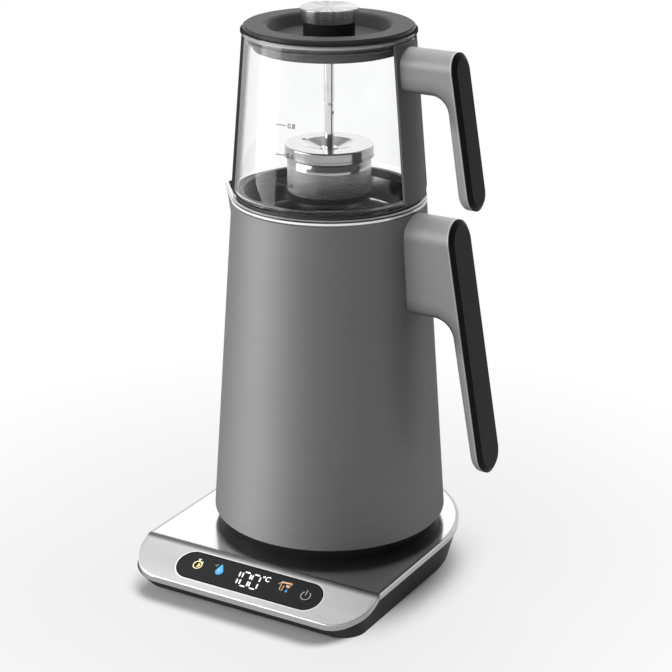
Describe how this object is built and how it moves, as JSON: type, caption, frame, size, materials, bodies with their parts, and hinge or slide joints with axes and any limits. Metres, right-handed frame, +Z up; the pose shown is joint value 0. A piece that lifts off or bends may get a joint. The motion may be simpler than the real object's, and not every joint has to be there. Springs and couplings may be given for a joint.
{
  "type": "automatic tea maker",
  "caption": "Cordless kettle with touch-panel base and a glass teapot on top, with lid, knob and hanging steel tea strainer, for boiling water and steeping tea",
  "frame": {"origin": "on the table, on the kettle's vertical axis", "axes": "+Z up, touch panel facing -Y, both handles towards +X, both pouring lips towards -X"},
  "size_m": [0.2109, 0.2075, 0.377],
  "materials": {
    "steel_brushed": "brushed, fine horizontal grain",
    "steel_polished": "polished stainless steel",
    "grey_paint": "satin mid grey",
    "grey_plastic": "satin mid grey",
    "lid_grey": "satin dark grey",
    "black_plastic": "fine matt grain",
    "black_gloss": "glossy touch window",
    "heat_plastic": "heat-resistant, matt",
    "silicone": "soft translucent grey",
    "black_rubber": "matt",
    "glass": "clear, polished",
    "circuit": "solder mask",
    "component": "moulded cases",
    "brass": "plain",
    "aluminium": "rolled",
    "zinc_screw": "zinc plated",
    "bond": "set adhesive"
  },
  "bodies": {
    "base": {"base_cover": "steel_brushed", "base_housing": "black_plastic", "cover_standoffs": "zinc_screw", "base_screws": "zinc_screw", "rubber_feet": "black_rubber", "cord_gland": "black_rubber", "touch_panel": "black_gloss", "display_module": "component", "touch_springs": "brass", "control_board": "circuit", "power_board": "circuit", "board_components": "component", "board_screws": "zinc_screw", "base_connector": "black_plastic", "connector_contacts": "brass"},
    "kettle": {"kettle_socket": "heat_plastic", "socket_contacts": "brass", "kettle_shell": "grey_paint", "kettle_liner": "steel_brushed", "kettle_rim": "steel_polished", "kettle_base_ring": "black_plastic", "heating_plate": "aluminium", "heating_element": "steel_brushed", "plate_studs": "zinc_screw", "kettle_base_screws": "zinc_screw", "thermostat": "heat_plastic", "bimetal_discs": "brass", "temperature_probe": "steel_polished", "kettle_handle": "grey_plastic", "kettle_handle_screws": "zinc_screw", "kettle_handle_pad": "black_plastic"},
    "teapot": {"glass_jug": "glass", "teapot_base": "steel_brushed", "teapot_seal": "silicone", "strap_bond": "bond", "handle_strap": "grey_paint", "teapot_handle": "grey_plastic", "teapot_handle_screw": "zinc_screw", "teapot_handle_pad": "black_plastic"},
    "lid": {"lid_cover": "lid_grey", "lid_edge_ring": "black_rubber", "lid_skirt": "silicone", "lid_gasket": "silicone", "rod_bush": "black_plastic"},
    "strainer": {"knob_cap": "steel_polished", "knob_neck": "black_plastic", "knob_screw": "zinc_screw", "upper_rod": "steel_polished", "lower_stem": "steel_polished", "stem_ferrule": "steel_polished", "strainer_cap": "steel_polished"},
    "cup": {"strainer_cup": "steel_polished"}
  },
  "joints": [
    {"name": "kettle_lift", "type": "slide", "parent": "base", "child": "kettle", "axis": [0, 0, 1], "range_m": [0, 0.12]},
    {"name": "teapot_lift", "type": "slide", "parent": "kettle", "child": "teapot", "axis": [0, 0, 1], "range_m": [0, 0.1]},
    {"name": "lid_lift", "type": "slide", "parent": "teapot", "child": "lid", "axis": [0, 0, 1], "range_m": [0, 0.13]},
    {"name": "strainer_lift", "type": "slide", "parent": "lid", "child": "strainer", "axis": [0, 0, 1], "range_m": [0, 0.033]},
    {"name": "cup_twist", "type": "hinge", "parent": "strainer", "child": "cup", "pos_m": [0, 0, 0.2822], "axis": [0, 0, 1], "range_deg": [0, 60]}
  ]
}
